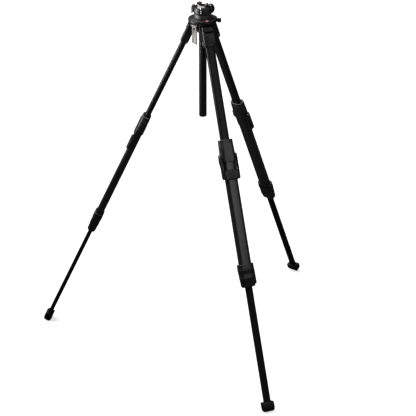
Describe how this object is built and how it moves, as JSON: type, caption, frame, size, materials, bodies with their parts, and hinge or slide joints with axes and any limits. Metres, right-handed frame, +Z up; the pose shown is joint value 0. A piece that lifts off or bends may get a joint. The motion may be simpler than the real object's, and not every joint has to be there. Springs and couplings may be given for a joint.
{
  "type": "camera tripod",
  "caption": "Three-section folding camera tripod with a centre column, spirit level, quick-release head and lever-locked flat-oval legs.",
  "frame": {"origin": "on the floor, in the middle of the box round the whole tripod at rest", "axes": "+Z up along the centre column; the front leg points along -Y, the others to the back left and back right"},
  "size_m": [1.165, 1.009, 1.3985],
  "materials": {
    "tube": "near-black satin anodised",
    "casting": "charcoal, fine matt powder coat",
    "head_metal": "dark grey satin coat",
    "moulding": "fine-grained dark grey moulding",
    "grip": "matt ribbed",
    "rubber": "matt black",
    "steel": "bright plated",
    "silver_metal": "bead-blasted, natural silver",
    "pale_lever": "warm pale grey satin coat",
    "level_red": "glossy red",
    "level_glass": "clear, pale liquid"
  },
  "bodies": {
    "spider": {"spider": "casting", "cover_ring": "casting", "level_ring": "level_red", "level_vial": "level_glass", "column_bush": "moulding", "column_lever_pin": "steel"},
    "column": {"centre_column": "tube", "column_end_cap": "rubber", "head_neck": "silver_metal"},
    "head": {"head_drum": "head_metal", "fixed_jaw": "silver_metal", "plate_stop": "silver_metal"},
    "grip_ring": {"grip_ring": "grip"},
    "moving_jaw": {"moving_jaw": "silver_metal"},
    "release_catch": {"release_catch": "steel"},
    "lock_knob": {"lock_knob": "moulding"},
    "column_lever": {"column_lever": "pale_lever"},
    "front_leg": {"front_leg_casting": "casting", "front_hinge_bolt": "steel", "front_clamp_screw": "steel", "front_upper_tube": "tube"},
    "front_selector": {"front_angle_selector": "moulding"},
    "front_middle": {"front_upper_collar": "casting", "front_middle_tube": "tube", "front_lower_collar": "moulding", "front_tube_guide": "moulding"},
    "front_upper_lever": {"front_upper_lever": "moulding", "front_lever_rivet": "steel"},
    "front_side_lever": {"front_side_lever": "moulding"},
    "front_lower": {"front_lower_tube": "tube", "front_foot": "rubber"},
    "left_leg": {"left_leg_casting": "casting", "left_hinge_bolt": "steel", "left_clamp_screw": "steel", "left_upper_tube": "tube"},
    "left_selector": {"left_angle_selector": "moulding"},
    "left_middle": {"left_upper_collar": "casting", "left_middle_tube": "tube", "left_lower_collar": "moulding", "left_tube_guide": "moulding"},
    "left_upper_lever": {"left_upper_lever": "moulding", "left_lever_rivet": "steel"},
    "left_side_lever": {"left_side_lever": "moulding"},
    "left_lower": {"left_lower_tube": "tube", "left_foot": "rubber"},
    "right_leg": {"right_leg_casting": "casting", "right_hinge_bolt": "steel", "right_clamp_screw": "steel", "right_upper_tube": "tube"},
    "right_selector": {"right_angle_selector": "moulding"},
    "right_middle": {"right_upper_collar": "casting", "right_middle_tube": "tube", "right_lower_collar": "moulding", "right_tube_guide": "moulding"},
    "right_upper_lever": {"right_upper_lever": "moulding", "right_lever_rivet": "steel"},
    "right_side_lever": {"right_side_lever": "moulding"},
    "right_lower": {"right_lower_tube": "tube", "right_foot": "rubber"}
  },
  "joints": [
    {"name": "column_slide", "type": "slide", "parent": "spider", "child": "column", "axis": [0, 0, 1], "range_m": [0, 0.28]},
    {"name": "head_pan", "type": "hinge", "parent": "column", "child": "head", "pos_m": [0, 0.15574, 1.36199], "axis": [0, 0, 1], "continuous": true},
    {"name": "grip_turn", "type": "hinge", "parent": "head", "child": "grip_ring", "pos_m": [0, 0.15574, 1.37499], "axis": [0, 0, 1], "range_deg": [0, 20]},
    {"name": "jaw_slide", "type": "slide", "parent": "head", "child": "moving_jaw", "axis": [0.788, 0.6157, 0], "range_m": [0, 0.003]},
    {"name": "catch_press", "type": "slide", "parent": "head", "child": "release_catch", "axis": [0.3746, 0.9272, 0], "range_m": [0, 0.002], "stiffness_N_per_m": 300},
    {"name": "lock_knob_turn", "type": "hinge", "parent": "spider", "child": "lock_knob", "pos_m": [0.04763, 0.12824, 1.33649], "axis": [0.866, -0.5, 0], "range_deg": [0, 300]},
    {"name": "column_lever_flip", "type": "hinge", "parent": "spider", "child": "column_lever", "pos_m": [-0.0433, 0.13074, 1.32449], "axis": [-0.5, 0.866, 0], "range_deg": [0, 95]},
    {"name": "front_leg_spread", "type": "hinge", "parent": "spider", "child": "front_leg", "pos_m": [0, 0.11374, 1.30992], "axis": [-1, 0, 0], "range_deg": [-25, 45]},
    {"name": "front_selector_slide", "type": "slide", "parent": "front_leg", "child": "front_selector", "axis": [0, -0.4226, -0.9063], "range_m": [0, 0.005], "stiffness_N_per_m": 200},
    {"name": "front_upper_slide", "type": "slide", "parent": "front_leg", "child": "front_middle", "axis": [0, 0.4226, 0.9063], "range_m": [0, 0.335]},
    {"name": "front_upper_lever_lift", "type": "hinge", "parent": "front_middle", "child": "front_upper_lever", "pos_m": [0, -0.08908, 0.87971], "axis": [-1, 0, 0], "range_deg": [0, 35]},
    {"name": "front_side_lever_lift", "type": "hinge", "parent": "front_middle", "child": "front_side_lever", "pos_m": [0.0288, -0.26857, 0.49006], "axis": [0, -0.9063, 0.4226], "range_deg": [0, 15]},
    {"name": "front_lower_slide", "type": "slide", "parent": "front_middle", "child": "front_lower", "axis": [0, 0.4226, 0.9063], "range_m": [0, 0.42]},
    {"name": "left_leg_spread", "type": "hinge", "parent": "spider", "child": "left_leg", "pos_m": [-0.03637, 0.17674, 1.30992], "axis": [0.5, 0.866, 0], "range_deg": [-25, 45]},
    {"name": "left_selector_slide", "type": "slide", "parent": "left_leg", "child": "left_selector", "axis": [-0.366, 0.2113, -0.9063], "range_m": [0, 0.005], "stiffness_N_per_m": 200},
    {"name": "left_upper_slide", "type": "slide", "parent": "left_leg", "child": "left_middle", "axis": [0.366, -0.2113, 0.9063], "range_m": [0, 0.335]},
    {"name": "left_upper_lever_lift", "type": "hinge", "parent": "left_middle", "child": "left_upper_lever", "pos_m": [-0.21202, 0.27815, 0.87971], "axis": [0.5, 0.866, 0], "range_deg": [0, 35]},
    {"name": "left_side_lever_lift", "type": "hinge", "parent": "left_middle", "child": "left_side_lever", "pos_m": [-0.38186, 0.34295, 0.49006], "axis": [-0.7849, 0.4532, 0.4226], "range_deg": [0, 15]},
    {"name": "left_lower_slide", "type": "slide", "parent": "left_middle", "child": "left_lower", "axis": [0.366, -0.2113, 0.9063], "range_m": [0, 0.42]},
    {"name": "right_leg_spread", "type": "hinge", "parent": "spider", "child": "right_leg", "pos_m": [0.03637, 0.17674, 1.30992], "axis": [0.5, -0.866, 0], "range_deg": [-25, 45]},
    {"name": "right_selector_slide", "type": "slide", "parent": "right_leg", "child": "right_selector", "axis": [0.366, 0.2113, -0.9063], "range_m": [0, 0.005], "stiffness_N_per_m": 200},
    {"name": "right_upper_slide", "type": "slide", "parent": "right_leg", "child": "right_middle", "axis": [-0.366, -0.2113, 0.9063], "range_m": [0, 0.335]},
    {"name": "right_upper_lever_lift", "type": "hinge", "parent": "right_middle", "child": "right_upper_lever", "pos_m": [0.21202, 0.27815, 0.87971], "axis": [0.5, -0.866, 0], "range_deg": [0, 35]},
    {"name": "right_side_lever_lift", "type": "hinge", "parent": "right_middle", "child": "right_side_lever", "pos_m": [0.35306, 0.39283, 0.49006], "axis": [0.7849, 0.4532, 0.4226], "range_deg": [0, 15]},
    {"name": "right_lower_slide", "type": "slide", "parent": "right_middle", "child": "right_lower", "axis": [-0.366, -0.2113, 0.9063], "range_m": [0, 0.42]}
  ],
  "couplings": [
    {"joint": "jaw_slide", "follows": "grip_turn", "m_per_rad": 0.0085944}
  ]
}
